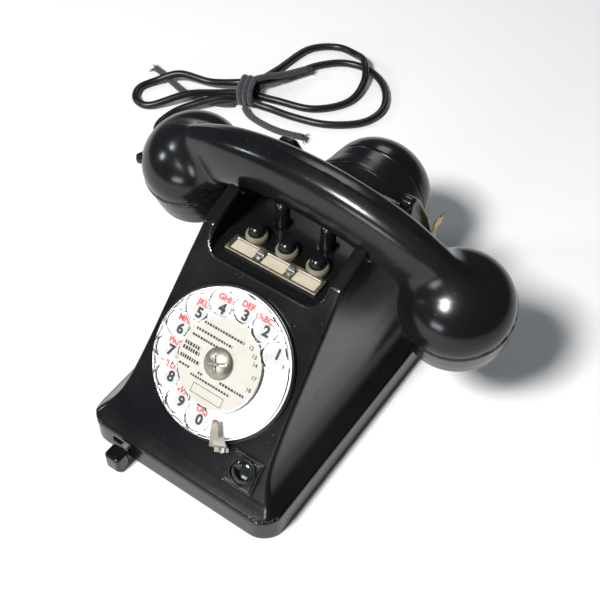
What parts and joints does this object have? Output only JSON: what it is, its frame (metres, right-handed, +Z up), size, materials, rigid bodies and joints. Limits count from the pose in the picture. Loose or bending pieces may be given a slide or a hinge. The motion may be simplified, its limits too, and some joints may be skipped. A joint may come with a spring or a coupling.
{
  "type": "desk telephone",
  "caption": "Black moulded desk telephone with a clear rotary dial, line buttons and label strip, an indicator window, a side lever, an extra earpiece behind and a tied line cord",
  "frame": {"origin": "On the table under the middle of the telephone, measured without the loose cord and its tie", "axes": "+X to the right of a person facing the dial, along the handset; +Y to the back; +Z up"},
  "size_m": [0.3442, 0.3697, 0.1375],
  "materials": {
    "black_plastic": "polished black moulded plastic",
    "black_satin": "slightly duller black moulded plastic",
    "white_plate": "white printed plastic",
    "clear_plastic": "clear acrylic",
    "card": "printed card",
    "nickel": "worn nickel plate",
    "collar_plastic": "cream plastic",
    "steel": "plated sheet steel",
    "brass": "brass",
    "rubber": "black rubber",
    "phenolic": "brown phenolic",
    "coil_wire": "wound and varnished copper wire",
    "bell_metal": "plated bell metal",
    "can": "metal can",
    "cord_rubber": "smooth black cord jacket",
    "tie_braid": "dark braided textile",
    "lens": "domed window"
  },
  "bodies": {
    "phone": {"housing": "black_plastic", "base_plate": "steel", "rubber_feet": "rubber", "base_screws": "steel", "dial_bezel": "black_satin", "number_plate": "white_plate", "dial_case": "steel", "finger_stop": "nickel", "main_spring": "steel", "pulse_contacts": "brass", "label_frame": "nickel", "label_cards": "card", "small_screws": "steel", "button_collars": "collar_plastic", "switch_bracket": "steel", "button_switch": "phenolic", "hook_contacts": "brass", "button_spring_1": "steel", "button_spring_2": "steel", "button_spring_3": "steel", "indicator_plate": "black_satin", "indicator_ring": "black_satin", "indicator_lens": "lens", "indicator_case": "steel", "ringer_frame": "steel", "ringer_gongs": "bell_metal", "ringer_coils": "coil_wire", "induction_coil": "coil_wire", "capacitor": "can", "terminal_block": "phenolic", "hook_strip": "brass", "cord_gland": "rubber", "line_cord": "cord_rubber", "tie_knot": "tie_braid", "tie_tail_left": "tie_braid", "tie_tail_right": "tie_braid", "tie_tail_top": "tie_braid"},
    "dial": {"finger_wheel": "clear_plastic", "centre_card": "card", "centre_cap": "nickel", "dial_shaft": "brass", "main_gear": "brass"},
    "governor": {"governor_pinion": "brass"},
    "button_1": {"push_button_1": "black_plastic"},
    "button_2": {"push_button_2": "black_plastic"},
    "button_3": {"push_button_3": "black_plastic"},
    "hook": {"hook_plungers": "black_satin"},
    "lever": {"lever_arm": "steel", "lever_knob": "black_plastic"},
    "flag": {"indicator_flag": "white_plate"},
    "hammer": {"ringer_hammer": "brass"},
    "handset": {"handset_shell": "black_plastic", "receiver_cap": "black_satin", "transmitter_cap": "black_satin", "handset_capsules": "can", "cord_boss": "black_satin"},
    "earpiece": {"earpiece_cap": "black_satin", "earpiece_band": "black_satin", "earpiece_shell": "black_plastic", "earpiece_capsule": "can"}
  },
  "joints": [
    {"name": "handset_lift", "type": "slide", "parent": "phone", "child": "handset", "axis": [0, 0, 1], "range_m": [0, 0.15]},
    {"name": "hook_slide", "type": "slide", "parent": "phone", "child": "hook", "axis": [0, 0, 1], "range_m": [0, 0.005]},
    {"name": "dial_spin", "type": "hinge", "parent": "phone", "child": "dial", "pos_m": [0, -0.05622, 0.05969], "axis": [0, -0.7254, 0.6884], "range_deg": [-328, 0], "stiffness_Nm_per_rad": 0.01, "springref_deg": 68.75},
    {"name": "governor_spin", "type": "hinge", "parent": "phone", "child": "governor", "pos_m": [0.0243, -0.04534, 0.04937], "axis": [0, -0.7254, 0.6884], "range_deg": [0, 1640]},
    {"name": "button_1_press", "type": "slide", "parent": "phone", "child": "button_1", "axis": [0, 0, -1], "range_m": [0, 0.0035], "stiffness_N_per_m": 300, "springref_m": -0.003, "deforming": ["button_spring_1"]},
    {"name": "button_2_press", "type": "slide", "parent": "phone", "child": "button_2", "axis": [0, 0, -1], "range_m": [0, 0.0035], "stiffness_N_per_m": 300, "springref_m": -0.003, "deforming": ["button_spring_2"]},
    {"name": "button_3_press", "type": "slide", "parent": "phone", "child": "button_3", "axis": [0, 0, -1], "range_m": [0, 0.0035], "stiffness_N_per_m": 300, "springref_m": -0.003, "deforming": ["button_spring_3"]},
    {"name": "lever_swing", "type": "hinge", "parent": "phone", "child": "lever", "pos_m": [-0.0332, -0.066, 0.0092], "axis": [0, 0, 1], "range_deg": [-8, 0]},
    {"name": "flag_drop", "type": "hinge", "parent": "phone", "child": "flag", "pos_m": [0.0336, -0.08021, 0.02787], "axis": [1, 0, 0], "range_deg": [0, 40], "stiffness_Nm_per_rad": 0.0005, "springref_deg": -20.05},
    {"name": "hammer_swing", "type": "hinge", "parent": "phone", "child": "hammer", "pos_m": [0, 0.002, 0.016], "axis": [0, 0, 1], "range_deg": [-3, 3], "stiffness_Nm_per_rad": 0.01},
    {"name": "earpiece_pull", "type": "slide", "parent": "phone", "child": "earpiece", "axis": [0, 1, 0], "range_m": [0, 0.1]}
  ],
  "couplings": [
    {"joint": "hook_slide", "follows": "handset_lift", "ratio": 0.033333},
    {"joint": "governor_spin", "follows": "dial_spin", "ratio": -5}
  ]
}
